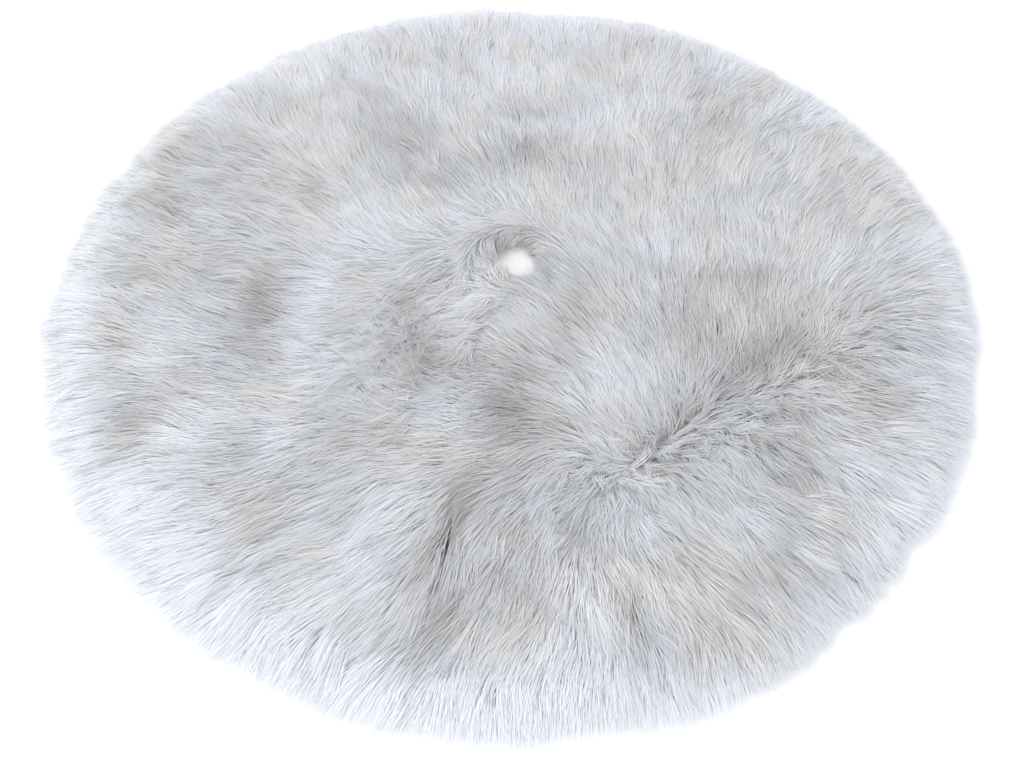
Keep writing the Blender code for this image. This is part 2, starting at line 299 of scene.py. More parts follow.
def make_piece(name, points, faces, places, finish, map_name="Thread"):
    """An object from points, groups of faces and each point's place on the piece's own map."""
    corners = np.concatenate([group.ravel() for group in faces]).astype(np.int32)
    sizes = np.concatenate([np.full(len(group), group.shape[1]) for group in faces])
    mesh = bpy.data.meshes.new(name)
    mesh.vertices.add(len(points))
    mesh.vertices.foreach_set("co", points.astype(np.float32).ravel())
    mesh.loops.add(len(corners))
    mesh.loops.foreach_set("vertex_index", corners)
    mesh.polygons.add(len(sizes))
    mesh.polygons.foreach_set("loop_start", (np.cumsum(sizes) - sizes).astype(np.int32))
    layer = mesh.uv_layers.new(name=map_name)
    layer.uv.foreach_set("vector", places.astype(np.float32)[corners].ravel())
    mesh.update(calc_edges=True)
    mesh.materials.append(finish)
    piece = bpy.data.objects.new(name, mesh)
    bpy.context.scene.collection.objects.link(piece)
    return piece


# %% [markdown]
# ## The finish of a strand
# Synthetic fur is never one white. Each strand has its own shade and tint, partly at random and partly
# painted
# light and shade: cool white where it is lit, warm grey where it sits in shadow, and darker at its root,
# where no light gets in. The strand's own map holds both: one way is the strand's shade, and the other runs
# from root to tip, three times over, on a page for cool white strands, one for neutral ones and one for warm
# ones. The colour is then worked out from that map alone, so a third of a million strands share one small
# painting.

# %% Fur finish
PAGES = 3
fur = Finish("white_fur", Sheen_Weight=0.15, Specular_IOR_Level=0.35)
strand_map = fur.node("ShaderNodeUVMap", {"uv_map": "OFBake"})
along, shade, _ = fur.parts(strand_map)
page = (along * PAGES).whole()
along = along * PAGES - page
fleck = fur.noise(fur.node("ShaderNodeCombineXYZ", inputs={0: along * 4.0, 1: shade * 160.0}), 1.0)
shade = shade + (fleck - 0.5) * 0.03
GREYS = ((0.0, 0.44), (0.28, 0.66), (0.52, 0.81), (0.78, 0.93), (1.0, 0.99))
SHADES = [(place, (grey, grey, grey)) for place, grey in GREYS]
COOL, NEUTRAL, WARM = (0.93, 0.955, 1.0), (0.975, 0.98, 0.99), (1.0, 0.98, 0.95)
# Painted light and shade: this grey follows the strand's shade, which carries the painted patches and
# shadows.
tone_with_painted_shade = fur.node("ShaderNodeValToRGB", {"stops": SHADES}, {0: shade})
tint = fur.mix(page.between(0.5, 1.5), COOL, fur.mix(page.between(1.5, 2.5), NEUTRAL, WARM))
# Painted shade: each strand is darker towards its root.
root_shadow = fur.mix(along.between(0.0, 0.55), (0.94, 0.935, 0.93), (1.0, 1.0, 1.0))
tone_with_painted_shade = fur.mix(1.0, tone_with_painted_shade, tint, "MULTIPLY")
fur_finish = fur.wear(Base_Color=fur.mix(1.0, tone_with_painted_shade, root_shadow, "MULTIPLY"),
                      Roughness=0.72 - shade * 0.2)
print("fur finish:", len(fur.tree.nodes), "nodes")

# %% [markdown]
# ## The comb field
# Long pile lies the way that it was last stroked, and the eye reads the fur from that. The field below
# is a few dozen comb strokes, each with a place and a heading. Between them the heading is the mean of
# the strokes' directions, where a stroke counts by a bell curve of its distance.

# %% Comb strokes
# Each stroke: its place in centimetres, and its heading in degrees
STROKES = np.array([
    (0, 50, 90), (0, 30, 92), (-20, 45, 108), (-38, 38, 125), (-25, 22, 118), (-48, 22, 145),
    (-35, 10, 178), (-50, 8, 165), (-13, 8, 120), (-30, -5, 165), (-50, -5, 165), (-30, -20, 180),
    (-50, -25, 185), (-15, -22, 185), (-35, -38, 195), (-20, -40, 212), (-15, -52, 230), (-5, -45, 235),
    (2, -55, 265), (4, -38, 240), (12, -45, 285), (20, -40, 300), (32, -35, 310), (30, -25, 315),
    (42, -25, 325), (48, -14, 335), (55, -2, 10), (45, 4, 42), (52, 15, 45), (35, 12, 58), (40, 28, 52),
    (28, 42, 68), (40, 40, 45), (20, 25, 78), (15, 8, 100), (30, -2, 75), (22, -14, 95), (12, -18, 115),
    (4, -10, 130), (3, -24, 180), (10, 42, 88), (-4.5, -7.5, 258), (-11, -5, 200)]) / (100, 100, 1)
STROKE_REACH = 0.075
RIDGE_START, RIDGE_END = np.array([0.105, -0.323]), np.array([0.43, -0.115])
RIDGE = RIDGE_END - RIDGE_START
RIDGE_LENGTH = float(np.hypot(*RIDGE))


def bell(distance, width):
    """1 at no distance and 0.37 at one width: e to the power of minus the square of their ratio."""
    return np.exp(-((distance / width) ** 2))


def ridge_places(x, y):
    """How far along the ridge a point is, from 0 to 1 at its ends, and how far to its upper left."""
    from_start = x - RIDGE_START[0], y - RIDGE_START[1]
    along_ridge = (from_start[0] * RIDGE[0] + from_start[1] * RIDGE[1]) / RIDGE_LENGTH**2
    beside = (from_start[1] * RIDGE[0] - from_start[0] * RIDGE[1]) / RIDGE_LENGTH
    wander = 0.014 * cloud(x, y, 0.045, 51) + 0.008 * cloud(x, y, 0.02, 52)
    return along_ridge, beside + 0.010 * np.sin(along_ridge * np.pi) + wander


def parted(x, y):
    """How strongly the pile parts here: 1 on the ridge's line and at its crown, 0 away from them."""
    along_ridge, beside = ridge_places(x, y)
    ridge = bell(beside, 0.022) * smooth(-0.1, 0.05, along_ridge) * smooth(1.1, 0.95, along_ridge)
    return np.maximum(ridge, 0.8 * bell(np.hypot(x - RIDGE_START[0], y - RIDGE_START[1]), 0.035))


def combed(x, y):
    """The lie of the pile as unit vectors: the strokes' mean, turned away from the ridge and the crown."""
    heading = np.radians(STROKES[:, 2])
    counts = bell(np.hypot(x[:, None] - STROKES[:, 0], y[:, None] - STROKES[:, 1]), STROKE_REACH) + 1e-9
    lie = np.stack([counts @ np.cos(heading), counts @ np.sin(heading)], 1) / counts.sum(1)[:, None]
    along_ridge, beside = ridge_places(x, y)
    pull = bell(beside, 0.05) * smooth(-0.05, 0.1, along_ridge) * smooth(1.15, 0.9, along_ridge)
    side = np.clip(beside / 0.012, -1.0, 1.0)
    lie += (side * pull)[:, None] * 0.9 * np.array([-RIDGE[1], RIDGE[0]]) / RIDGE_LENGTH
    crown = np.stack([x - RIDGE_START[0], y - RIDGE_START[1]], 1)
    reach = np.hypot(crown[:, 0], crown[:, 1]) + 1e-6
    lie += (0.55 * bell(reach, 0.035) / np.maximum(reach, 0.018))[:, None] * crown
    return lie / (np.hypot(lie[:, 0], lie[:, 1])[:, None] + 1e-9)


print(len(STROKES), "comb strokes, ridge", round(RIDGE_LENGTH, 2), "m long")

# %% [markdown]
# ## Roots, clouds and locks
# Strands root on a square grid with every point jogged aside, which covers evenly and shows no rows.
# Clouds are smooth random hills, made by blending random numbers on a coarse grid, and they vary the
# length and the shade from place to place. Strands of long fur also cling together. A lock is a jogged
# grid of larger cells: each strand finds the nearest lock centre and bends its tip towards that lock's.

# %% Roots, clouds and locks
dice = np.random.default_rng(41)


def jogged_grid(spacing, reach):
    """Points of a square grid over plus and minus reach, each moved by up to half a step both ways."""
    count = int(2 * reach / spacing)
    steps = (np.arange(count) + 0.5) * spacing - reach
    x, y = np.meshgrid(steps, steps)
    jog = dice.uniform(-0.5, 0.5, (2, count, count)) * spacing
    return (x + jog[0]).ravel(), (y + jog[1]).ravel()


def cloud(x, y, size, seed):
    """Smooth random hills from -1 to 1, one number a cell of this size, eased between the four corners."""
    table = np.random.default_rng(seed).uniform(-1.0, 1.0, (256, 256))
    u, v = x / size + 128.0, y / size + 128.0
    i, j = np.floor(u).astype(int), np.floor(v).astype(int)
    a, b = smooth(0.0, 1.0, u - i), smooth(0.0, 1.0, v - j)
    i, j = i % 255, j % 255
    low = table[i, j] * (1 - a) + table[i + 1, j] * a
    high = table[i, j + 1] * (1 - a) + table[i + 1, j + 1] * a
    return low * (1 - b) + high * b


def nearest_lock(x, y, size, seed):
    """The nearest lock centre to each point, out of the nine cells about it, and the lock's number."""
    table = np.random.default_rng(seed).uniform(0.1, 0.9, (2, 512, 512))
    i, j = np.floor(x / size).astype(int) + 256, np.floor(y / size).astype(int) + 256
    best = np.full(x.shape, 1e9)
    centre = np.zeros((2, *x.shape))
    number = np.zeros(x.shape, int)
    for step_x in (-1, 0, 1):
        for step_y in (-1, 0, 1):
            m, n = (i + step_x) % 512, (j + step_y) % 512
            place = np.stack([(m - 256 + table[0, m, n]) * size, (n - 256 + table[1, m, n]) * size])
            far = np.hypot(place[0] - x, place[1] - y)
            nearer = far < best
            best = np.where(nearer, far, best)
            centre = np.where(nearer, place, centre)
            number = np.where(nearer, m * 512 + n, number)
    return centre[0], centre[1], number


# %% [markdown]
# ## One strand
# A strand leaves its root steeply and bends over until it lies along the pile. Three straight legs are
# enough, short at the root where it bends most: each turns further down than the last, and the tip of
# the last is a point. Across, a strand is a narrow ribbon turned at random about its length, so that
# some catch the light and some don't. Seven corners and three faces keep a third of a million light.

# %% Strand shapes
STRAND_SPACING = 0.0018
STRAND_LENGTH = 0.064
STRAND_WIDTH = 0.00092
LEGS = np.array([0.22, 0.36, 0.42])
STEPS = len(LEGS)
REACHED = np.concatenate([[0.0], np.cumsum(LEGS)])


def waves(x, y):
    """The cloth's gentle lie on the floor: low hills that die out at the rim, the hole and the slit."""
    radius = np.hypot(x, y)
    beside, outward = slit_xy(x, y)
    away = smooth(0.05, 0.14, np.abs(beside + 0.02)) + smooth(0.0, -0.05, outward)
    calm = smooth(0.07, 0.18, radius) * smooth(0.56, 0.46, radius) * np.clip(away, 0.0, 1.0)
    return 0.006 * calm * (0.5 + 0.5 * cloud(x, y, 0.16, 5))


def fringe_reach(angle):
    """How far out the fringe's tips get at this angle: a soft polygon with two nicks at the lower right."""
    swell = 0.006 * np.sin(5 * angle + 0.6) + 0.004 * np.sin(11 * angle + 2.0) + 0.003 * np.sin(23 * angle)
    degrees = np.degrees(angle) % 360.0
    nicks = 0.016 * bell(degrees - 316.0, 2.2) + 0.016 * bell(degrees - 303.0, 2.0)
    nicks = nicks + 0.032 * bell(degrees - 86.0, 10.0) - 0.008 * bell(degrees - 272.0, 12.0)
    return 0.618 + 0.016 * np.cos(angle - 2.5) + swell - nicks


# Each painted patch: its middle and its half widths in centimetres, its heading, and how much lighter in
# percent, painted light above 0 and painted shade below
LIGHT_AND_SHADE_PATCHES = np.array([
    (25, -22, 13, 2.6, 36, -32), (32, -16, 5, 3.5, 30, -24), (23, -14, 6, 5, 0, -28),
    (30, -5, 7, 2.2, 0, -16), (42, -10, 7, 5, 0, -14), (32, -19, 3, 3, 0, 10), (0, -25, 4.5, 6, 0, -40),
    (42, -24, 3, 3, 0, -24), (27, -43, 5, 3, 0, -16), (0, -12, 3, 3, 0, 18), (-24, -5, 3, 3, 0, 18),
    (-48, -18, 2.5, 3, 0, -20), (29, 20, 3.5, 4, 0, -14), (30, 35, 4, 3, 0, -14), (-12, 24, 3, 3, 0, -14),
    (-33, 39, 4, 4, 0, 16), (18, 30, 3, 3, 0, 14), (-12, -15.5, 4.5, 6, 15, -20),
    (-8, -19.5, 3.5, 3.5, 0, -24), (-2, 15, 16, 6, 0, -14), (-52, 20, 5, 8, 0, -14),
    (-30, 0, 4, 4, 0, 18), (-42, -18, 3, 4, 0, 22), (-12, 12, 4, 3, 0, -22), (0, 43, 5, 14, 0, 14),
    (34, 42, 5, 5, 0, 20), (45, 30, 5, 5, 0, 14), (-54, -9, 4, 6, 0, 14), (-33, -27, 5, 5, 0, 16),
    (-14, -42, 3, 3, 0, 14), (-15, 27, 7, 5, -60, -16), (10, 24, 5, 8, 0, 18), (49, -22, 4, 6, 0, 22),
    (7, -12, 3, 4, 0, -26), (-12, 36, 4, 4, 0, 20), (4, 37, 5, 3, 0, 16), (5, 56, 16, 5, 0, 26),
    (-33, -40, 8, 6, 0, 20), (-24, -21, 4, 8, 0, 16), (24, -31, 4, 3, 0, 12), (6, -48.5, 8, 3.5, 0, 16),
    (36, -42, 4, 4, 0, 22), (-8, 6, 10, 2, 0, 14), (-6.8, -39, 6.5, 1.6, 66, -44),
    (-6, -49, 4.5, 2.5, 66, -36), (-10, -55, 3, 1.4, 60, -22), (6, -40, 4, 2, -75, -25),
    (12, -50, 5.5, 2, -65, -36), (21, -46, 5, 2, -60, -16), (2, -47, 3, 3, 0, -16),
    (31, -33, 7, 3, -70, -20), (-18, 21, 7.5, 3.5, -50, -22), (2, 20, 7, 3.5, 0, -26),
    (3, 28, 5, 3, 0, -16), (30, 27, 5, 3.5, 20, -20), (-31.8, -9, 3, 8.5, -6, -32),
    (-48, 6, 3, 2.5, 0, -30), (-43.2, -28, 3.2, 5, 10, -55), (-50, -12, 2, 5, 0, -20),
    (-31, -33, 3.5, 4.5, 0, -10), (-26, -40, 5.5, 2.2, 50, -22), (-32, 10, 15, 2.2, 0, -6),
    (12, -20, 3.5, 6, 0, 18), (-20, 2, 6, 3, 0, 12), (-25, -10, 2.2, 7.5, 0, 14),
    (-16, -42, 11, 2.5, 60, 24), (3, -57, 13, 4.5, 0, 52), (-28, -50, 17, 5.5, -30, 38),
    (-52, -20, 5, 17, 14, 24), (-44, -36, 9, 7, -45, 42), (56, -10, 3.5, 16, -8, 22),
    (44, -36, 6, 6, 0, 38), (11, -31, 3.5, 3.5, 0, 32), (-5.5, -5, 3.5, 6, 0, 20), (-28, 20, 5, 5, 0, 10),
    (-10, 10.5, 16, 1, 2, 12)]) / (100, 100, 100, 100, 1, 100)


def tone_and_painted_light(x, y):
    """The fur's tone: random clouds, painted light towards the rim, and large patches of painted light and
    shade as stretched bell curves.
    """
    total = 0.07 * cloud(x, y, 0.10, 10) + 0.08 * cloud(x, y, 0.045, 11) + 0.06 * cloud(x, y, 0.02, 12)
    # Painted light: the fur is made lighter towards the rim.
    total = total - 0.01 + 0.34 * smooth(0.52, 0.61, np.hypot(x, y))
    for px, py, wide, long, turn, amount in LIGHT_AND_SHADE_PATCHES:
        c, s = math.cos(math.radians(turn)), math.sin(math.radians(turn))
        u, v = (x - px) * c + (y - py) * s, (y - py) * c - (x - px) * s
        total = total + amount * np.exp(-((u / wide) ** 2) - (v / long) ** 2)
    return total


def turned(lie, turn):
    """Flat unit vectors, each turned to the left by its own angle."""
    c, s = np.cos(turn), np.sin(turn)
    return np.stack([lie[:, 0] * c - lie[:, 1] * s, lie[:, 0] * s + lie[:, 1] * c], 1)


def strand_colour(x, y, seen, lock_dice, wisp_dice):
    """Each strand's shade with its painted light and shade, from where its middle is seen, and its page: 0
    cool, 1 neutral, 2 warm.
    """
    count = len(x)
    # Painted shadow round the trunk hole, deepest on its upper left side.
    upper_left = np.clip(np.cos(np.arctan2(y, x) - 2.3), 0.0, 1.0) ** 2
    tone = 0.49 + tone_and_painted_light(seen[:, 0], seen[:, 1]) + 0.09 * lock_dice[0] + 0.04 * wisp_dice[2]
    shadow = (0.20 + 0.50 * upper_left) * bell(np.hypot(seen[:, 0], seen[:, 1]), 0.048)
    tone = tone + dice.normal(0.0, 0.012, count) - shadow
    hue = 0.6 * cloud(x, y, 0.06, 61) + 0.4 * lock_dice[1] + 0.3 * wisp_dice[0]
    # Painted shade turns warm: the darker a strand's shade, the warmer its page.
    hue = hue - 2.0 * (tone - 0.54) + dice.normal(0.0, 0.15, count)
    hue = hue + 0.6 * smooth(0.548, 0.560, np.hypot(x, y)) * (dice.uniform(0, 1, count) < 0.5)
    return np.clip(tone, 0.03, 0.97), (hue > -0.15).astype(int) + (hue > 0.40)


def strand_paths(x, y, lift):
    """The stops of each strand from root to tip, its shade, its page of the map, and its root's angle."""
    count = len(x)
    radius, angle = np.hypot(x, y), np.arctan2(y, x)
    on_ridge = parted(x, y)
    curly = np.exp(-(((x + 0.125) / 0.07) ** 2) - ((y + 0.165) / 0.10) ** 2)
    rim = smooth(0.50, 0.57, radius)
    outward = np.stack([x, y], 1) / radius[:, None]

    lock_x, lock_y, lock = nearest_lock(x, y, 0.017, 3)
    wisp_x, wisp_y, wisp = nearest_lock(x, y, 0.0065, 4)
    lock_dice, wisp_dice = (np.random.default_rng(seed).uniform(-1, 1, (3, 512 * 512))[:, number]
                            for seed, number in ((8, lock), (9, wisp)))
    lie = turned(combed(x, y), 0.35 * cloud(x, y, 0.05, 21) + 0.21 * cloud(x, y, 0.022, 22))
    strong = 0.55 + 0.45 * smooth(-0.25, 0.15, x)
    turn = strong * (0.20 * lock_dice[0] + 0.16 * wisp_dice[0]) + dice.normal(0.0, 0.08, count)
    lie = turned(lie, turn + (1.1 * curly + 1.2 * on_ridge) * wisp_dice[1] + 0.35 * on_ridge * wisp_dice[0])
    leans_in = smooth(-0.2, 0.5, -(lie * outward).sum(1))
    mouth = leans_in * smooth(0.085, 0.055, radius) + (1 - leans_in) * smooth(0.072, 0.058, radius)
    lie = lie * (1 - 0.55 * rim[:, None]) + outward * 0.55 * rim[:, None] - outward * 2.2 * mouth[:, None]
    lie /= np.hypot(lie[:, 0], lie[:, 1])[:, None]
    side = np.stack([-lie[:, 1], lie[:, 0]], 1)

    length = STRAND_LENGTH * (1 + 0.10 * cloud(x, y, 0.04, 31) + 0.10 * lock_dice[1]
                              + dice.normal(0.0, 0.06, count))
    length *= 1 - 0.30 * curly - 0.35 * on_ridge - (0.35 - 0.15 * leans_in) * mouth
    longer = 0.8 * np.maximum(np.clip(np.cos(angle - 2.4), 0.0, 1.0), bell(angle + 1.57, 0.35))
    length *= 1 - (0.06 + 0.22 * dice.uniform(0, 1, count)) * rim * (1 - longer) + 0.16 * longer * rim
    steep = np.radians(54 + 5 * wisp_dice[2] + 14 * on_ridge + 10 * curly + dice.normal(0, 4, count)
                       - 20 * rim)
    flat = np.radians(-5 + 5 * lock_dice[2] + 26 * on_ridge + 18 * curly - 32 * rim
                      - (20 + 30 * leans_in) * mouth)
    curl = dice.normal(0.0, 0.08, count) + 0.16 * wisp_dice[1] + 0.25 * lock_dice[2]
    curl = curl + (1.2 * on_ridge + 1.6 * curly) * wisp_dice[2]

    stops = np.zeros((STEPS + 1, count, 3))
    over_tape = np.maximum(smooth(0.566, 0.570, radius), smooth(0.064, 0.061, radius))
    stops[0, :, 0], stops[0, :, 1] = x, y
    stops[0, :, 2] = PILE_ROOT + (TAPE_TOP - PILE_ROOT + 0.0003) * over_tape + waves(x, y) + lift
    for step in range(STEPS):
        share = (REACHED[step] + REACHED[step + 1]) / 2
        rise = steep + (flat - steep) * share**0.75
        bend = curl * share
        run = np.cos(rise)[:, None] * (lie * np.cos(bend)[:, None] + side * np.sin(bend)[:, None])
        leg = (length * LEGS[step])[:, None]
        stops[step + 1, :, :2] = stops[step, :, :2] + run * leg
        stops[step + 1, :, 2] = stops[step, :, 2] + np.sin(rise) * leg[:, 0]

    wisp_cling = (0.22 + 0.14 * smooth(-0.2, 0.2, x)) * (1 - 0.5 * rim)
    lock_cling = 0.26 + 0.15 * cloud(x, y, 0.09, 41) + 0.18 * smooth(-0.1, 0.3, x) - 0.2 * rim
    for centre_x, centre_y, cling in ((wisp_x, wisp_y, wisp_cling),
                                      (lock_x, lock_y, np.clip(lock_cling, 0.05, 0.6))):
        pull = np.stack([centre_x - x, centre_y - y], 1) * cling[:, None]
        stops[1:, :, :2] += pull * REACHED[1:, None, None] ** 1.3
    seen = stops[0, :, :2] + 0.55 * (stops[-1, :, :2] - stops[0, :, :2])
    return stops, *strand_colour(x, y, seen, lock_dice, wisp_dice), angle


# %% [markdown]
# ## Keeping strands in their place
# Three edges bound the pile. Tips may not pass the fringe's reach or sink into the floor, and beside the
# slit a strand is combed along it instead of across it, so that the flap can be folded back without
# pulling through the fur of its neighbour.

# %% Bounds for strands


def kept_in(stops, angle, low_x, high_x):
    """Stops drawn back inside the fringe's reach, between two lines beside the slit, and above the floor."""
    stops = stops.copy()
    x, outward = slit_xy(stops[:, :, 0], stops[:, :, 1])
    sway = x[-1] - x[0]
    over = np.where(sway > 0, (high_x - x[0]) / np.maximum(sway, 1e-6),
                    (low_x - x[0]) / np.minimum(sway, -1e-6))
    share = np.where(outward[0] > 0.0, np.clip(over, 0.0, 1.0), 1.0)
    stops[1:, :, :2] = row_points(x[0] + (x[1:] - x[0]) * share, outward[1:], 0.0)[..., :2]
    root, tip = (np.hypot(stops[end, :, 0], stops[end, :, 1]) for end in (0, -1))
    limit = fringe_reach(angle) + 0.007 * np.sin(stops[0, :, 0] * 9000.0)
    share = np.where(tip > limit, (limit - root) / np.maximum(tip - root, 1e-6), 1.0)
    ragged = 0.0035 * cloud(angle, 0 * angle, 0.25, 73) + 0.0022 * np.sin(stops[0, :, 1] * 9000.0)
    opening = 0.0175 + 0.009 * np.clip(-np.sin(angle), 0.0, 1.0) + 0.006 * np.cos(angle) + ragged
    share = np.where((tip < opening) & (root < 0.10), (root - opening) / np.maximum(root - tip, 1e-6), share)
    stops[1:, :, :2] = stops[0, :, :2] + (stops[1:, :, :2] - stops[0, :, :2]) * share[:, None]
    stops[:, :, 2] = np.maximum(stops[:, :, 2], 0.0012)
    return stops


def slit_cover(outward):
    """How well fur covers the slit: 1 where it lies shut, 0 in the short stretch that gapes."""
    return 1.0 - smooth(0.30, 0.37, outward) * smooth(0.47, 0.41, outward)


def strand_mesh(name, stops, tone, page):
    """Ribbons along the stops: two corners half a width to each side of a stop, and one at the tip."""
    count = stops.shape[1]
    run = stops[-1] - stops[0]
    side = np.stack([-run[:, 1], run[:, 0], np.zeros(count)], 1)
    side /= np.linalg.norm(side, axis=1)[:, None] + 1e-9
    roll = dice.uniform(-0.2, 0.2, count)
    side = side * np.cos(roll)[:, None] + np.array([0, 0, 1.0]) * np.sin(roll)[:, None]
    width = STRAND_WIDTH * dice.uniform(0.6, 1.3, count)
    width *= 1 - 0.5 * smooth(0.53, 0.57, np.hypot(stops[0, :, 0], stops[0, :, 1]))
    taper = np.array([0.9, 1.0, 0.75])
    half = (side * width[:, None] / 2)[None] * taper[:, None, None]
    corners = np.empty((count, 7, 3))
    corners[:, 0:6:2] = (stops[:-1] - half).transpose(1, 0, 2)
    corners[:, 1:6:2] = (stops[:-1] + half).transpose(1, 0, 2)
    corners[:, 6] = stops[-1]
    first = (np.arange(count) * 7)[:, None]
    quads = (first[:, :, None] + np.array([[0, 1, 3, 2], [2, 3, 5, 4]])).reshape(-1, 4)
    step_of = REACHED[[0, 0, 1, 1, 2, 2, 3]]
    side_of = np.array([-1, 1, -1, 1, -1, 1, 0]) * 0.004
    down = (page[:, None] + 0.01 + 0.98 * step_of) / PAGES
    places = np.stack([down, tone[:, None] + side_of], -1)
    faces = [quads, first + np.array([4, 5, 6])]
    return make_piece(name, corners.reshape(-1, 3), faces, places.reshape(-1, 2), fur_finish, "OFBake")


# %% [markdown]
# ## The fur of the main piece and of the flap
# All strands are worked out at once and then dealt into sectors of a circle, because one object with a
# million and a half triangles is awkward to handle. The flap's strands are one more piece: they stand on
# the flap and may lean over its fold line.

# %% Grow the fur
SECTORS, MARGIN, CREASE = 9, 0.0015, 0.0004
root_x, root_y = jogged_grid(STRAND_SPACING, FABRIC_RADIUS)
root_radius = np.hypot(root_x, root_y)
inside = (root_radius < FABRIC_RADIUS - MARGIN) & (root_radius > HOLE_RADIUS + MARGIN)
root_x, root_y = root_x[inside], root_y[inside]
beside_slit, out_slit = slit_xy(root_x, root_y)
on_flap = (out_slit > 0) & (beside_slit > FOLD_X + CREASE) & (beside_slit < FLAP_EDGE_X)
parting = (out_slit > 0) & (beside_slit >= FLAP_EDGE_X) & (beside_slit < FLAP_EDGE_X + 0.002)
crease = (out_slit > 0) & (np.abs(beside_slit - FOLD_X) <= CREASE)

rooted = on_flap
stops, tone, page, angle = strand_paths(root_x[rooted], root_y[rooted], lift_at(beside_slit[rooted]))
ragged = 0.010 * cloud(root_x[rooted], root_y[rooted], 0.011, 71)
stops = kept_in(stops, angle, FOLD_X - 0.06, FLAP_EDGE_X + (0.018 + ragged) * slit_cover(out_slit[rooted]))
flap_fur = strand_mesh("fur_strands_flap", stops, tone, page)
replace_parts(flap_fur, "fur_pile_flap")
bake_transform(flap_fur)

rooted = ~(on_flap | parting | crease)
main_x, main_y, main_beside = root_x[rooted], root_y[rooted], beside_slit[rooted]
stops, tone, page, angle = strand_paths(main_x, main_y, 0.0)
right_of_slit = main_beside > 0
closed = slit_cover(out_slit[rooted])
ragged = 0.012 * cloud(main_x, main_y, 0.011, 72)
stops = kept_in(stops, angle, np.where(right_of_slit, FLAP_EDGE_X - (0.028 + ragged) * closed, -1.0),
                np.where(right_of_slit, 1.0, FOLD_X + 0.015))
sector = np.minimum((((angle + np.pi) / (2 * np.pi)) * SECTORS).astype(int), SECTORS - 1)
for number in range(SECTORS):
    chosen = sector == number
    piece = strand_mesh(f"fur_strands_{number + 1}", stops[:, chosen], tone[chosen], page[chosen])
    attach(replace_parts(piece, "fur_pile_main"), MAIN)
print(f"{len(main_x) + int(on_flap.sum())} strands, highest {stops[:, :, 2].max() * 1000:.1f} mm,",
      f"about {5 * len(main_x) // SECTORS} triangles a sector")

# %% [markdown]
# ## Cloth, laid as two maps
# Under the fur, the skirt is flat work: a knit backing, a lining and tapes. The main piece is a ring
# with a gap where the slit is, and the gap's sides are straight. So each radius gets its own first and
# last angle, and a point is named by its radius and its share of the way round. The flap is named by
# its distance across the slit and its radius, and steps up over the underlap. Both maps follow the same
# gentle waves as the fur's roots, so no layer comes through another.

# %% The two maps
RIM_TAPE, SLIT_TAPE, CLEAR = 0.012, 0.008, 0.0003
STRIP_INNER, STRIP_OUTER = HOLE_RADIUS + RIM_TAPE + CLEAR, FABRIC_RADIUS - RIM_TAPE - CLEAR


def angle_at(radius, x):
    """The angle, on the slit's side, where a circle about the hole meets the line at this x."""
    return -np.arccos(x / radius)


def main_map(radius, turn, height, right_x=UNDERLAP_EDGE_X, left_x=FOLD_X - CREASE):
    """Row-frame points: the angle runs evenly from the underlap's edge, the long way, to the fold."""
    first, last = angle_at(radius, right_x), angle_at(radius, left_x) + 2 * np.pi
    angle = first + (last - first) * turn
    points = row_points(radius * np.cos(angle), -radius * np.sin(angle), height)
    points[..., 2] += waves(points[..., 0], points[..., 1])
    return points


def flap_map(radius, x, height):
    """Row-frame points of the flap: out to this radius along the line at x, and up by the flap's step."""
    return row_points(x, np.sqrt(radius**2 - x**2), height + lift_at(x))


def strip_map(x, share, height, lift=0.0):
    """Points of a strip along the slit, from share 0 at the hole's tape to share 1 at the rim's."""
    inner, outer = np.sqrt(STRIP_INNER**2 - x**2), np.sqrt(STRIP_OUTER**2 - x**2)
    return row_points(x, inner + (outer - inner) * share, height + lift)


# %% [markdown]
# ## Lofts
# Most pieces here are one grid of points: steps along a path, and steps round a profile. The faces join
# neighbouring points. If the profile closes on itself, each end gets a cap, so the piece is a closed
# body, and the piece's own map holds the distance along and the distance round, both in metres.

# %% Lofted pieces


def loft_shape(grid, closed):
    """Points, faces and map of a grid [along, round], with caps if the second way is closed."""
    along, around = grid.shape[:2]
    number = np.arange(along * around).reshape(along, around)
    beside = np.roll(number, -1, axis=1) if closed else number[:, 1:]
    here = number if closed else number[:, :-1]
    quads = np.stack([here[:-1], beside[:-1], beside[1:], here[1:]], -1).reshape(-1, 4)
    faces = [quads] + ([number[:1, ::-1], number[-1:]] if closed else [])
    path = np.linalg.norm(np.diff(grid[:, 0], axis=0), axis=1).cumsum()
    girth = np.linalg.norm(np.diff(grid[along // 2], axis=0), axis=1).cumsum()
    u, v = np.concatenate([[0.0], path]), np.concatenate([[0.0], girth])
    places = np.stack(np.broadcast_arrays(u[:, None], v[None, :]), -1).reshape(-1, 2)
    return grid.reshape(-1, 3), faces, places


def copies(shape, points):
    """Many copies of one shape as one shape, when points holds every copy's own points."""
    single, faces, places = shape
    shift = (np.arange(len(points)) * len(single))[:, None, None]
    faces = [(face[None] + shift).reshape(-1, face.shape[1]) for face in faces]
    return points.reshape(-1, 3), faces, np.tile(places, (len(points), 1))


def facing_up(piece):
    """Turn an open cloth's faces so that most look up."""
    normals = np.zeros(len(piece.data.polygons) * 3, np.float32)
    piece.data.polygons.foreach_get("normal", normals)
    if normals[2::3].sum() < 0:
        piece.data.flip_normals()
    return piece


def facing_out(piece):
    """Turn a closed body's faces outwards."""
    body = bmesh.new()
    body.from_mesh(piece.data)
    bmesh.ops.recalc_face_normals(body, faces=body.faces)
    body.to_mesh(piece.data)
    body.free()
    return piece


def thick(piece, thickness):
    """Give a cloth its thickness, upwards from its face."""
    solid = facing_up(piece).modifiers.new("thickness", "SOLIDIFY")
    solid.thickness, solid.offset = thickness, 1.0


